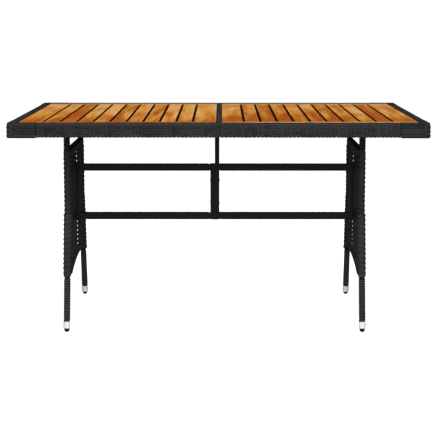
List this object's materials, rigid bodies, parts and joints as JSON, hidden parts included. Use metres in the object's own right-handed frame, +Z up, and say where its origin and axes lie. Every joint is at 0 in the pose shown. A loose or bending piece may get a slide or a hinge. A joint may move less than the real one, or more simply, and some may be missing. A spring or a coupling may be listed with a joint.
{
  "type": "wicker garden table",
  "caption": "Rectangular garden table: slatted hardwood top panels in a woven wicker rim, on two woven end frames with bent legs, joined by stretchers and bolted centre posts.",
  "frame": {"origin": "on the floor under the middle of the table top", "axes": "+X along the length to the right, +Y to the back, +Z up; the front faces -Y"},
  "size_m": [1.4, 0.8, 0.75],
  "materials": {
    "acacia": "oiled",
    "powder_coated_steel": "satin black powder coat",
    "wicker": "flat synthetic rattan strand, soft sheen",
    "zinc_steel": "zinc plated",
    "bright_sleeve": "bright satin",
    "rubber": "moulded"
  },
  "bodies": {
    "root": {"slat_left_01": "acacia", "slat_left_02": "acacia", "slat_left_03": "acacia", "slat_left_04": "acacia", "slat_left_05": "acacia", "slat_left_06": "acacia", "slat_left_07": "acacia", "slat_left_08": "acacia", "slat_left_09": "acacia", "slat_left_10": "acacia", "slat_left_11": "acacia", "slat_right_01": "acacia", "slat_right_02": "acacia", "slat_right_03": "acacia", "slat_right_04": "acacia", "slat_right_05": "acacia", "slat_right_06": "acacia", "slat_right_07": "acacia", "slat_right_08": "acacia", "slat_right_09": "acacia", "slat_right_10": "acacia", "slat_right_11": "acacia", "end_rail_front_left": "acacia", "end_rail_front_right": "acacia", "end_rail_back_left": "acacia", "end_rail_back_right": "acacia", "battens": "acacia", "rim_tube_front": "powder_coated_steel", "rim_tube_back": "powder_coated_steel", "rim_tube_left": "powder_coated_steel", "rim_tube_right": "powder_coated_steel", "centre_bar": "powder_coated_steel", "leg_rails": "powder_coated_steel", "panel_ledges": "powder_coated_steel", "leg_front_left": "powder_coated_steel", "leg_back_left": "powder_coated_steel", "leg_front_right": "powder_coated_steel", "leg_back_right": "powder_coated_steel", "end_frame_left": "powder_coated_steel", "end_frame_right": "powder_coated_steel", "stretcher_upper_left": "powder_coated_steel", "stretcher_lower_left": "powder_coated_steel", "stretcher_upper_right": "powder_coated_steel", "stretcher_lower_right": "powder_coated_steel", "centre_post_left": "powder_coated_steel", "centre_post_right": "powder_coated_steel", "rim_wicker_front": "wicker", "rim_wicker_back": "wicker", "rim_wicker_left": "wicker", "rim_wicker_right": "wicker", "corner_wicker": "wicker", "centre_wicker": "wicker", "leg_windings": "wicker", "end_weave_left": "wicker", "end_weave_right": "wicker", "stretcher_windings": "wicker", "frame_bolts": "zinc_steel", "batten_screws": "zinc_steel", "foot_sleeves": "bright_sleeve", "glides": "rubber"}
  },
  "joints": []
}
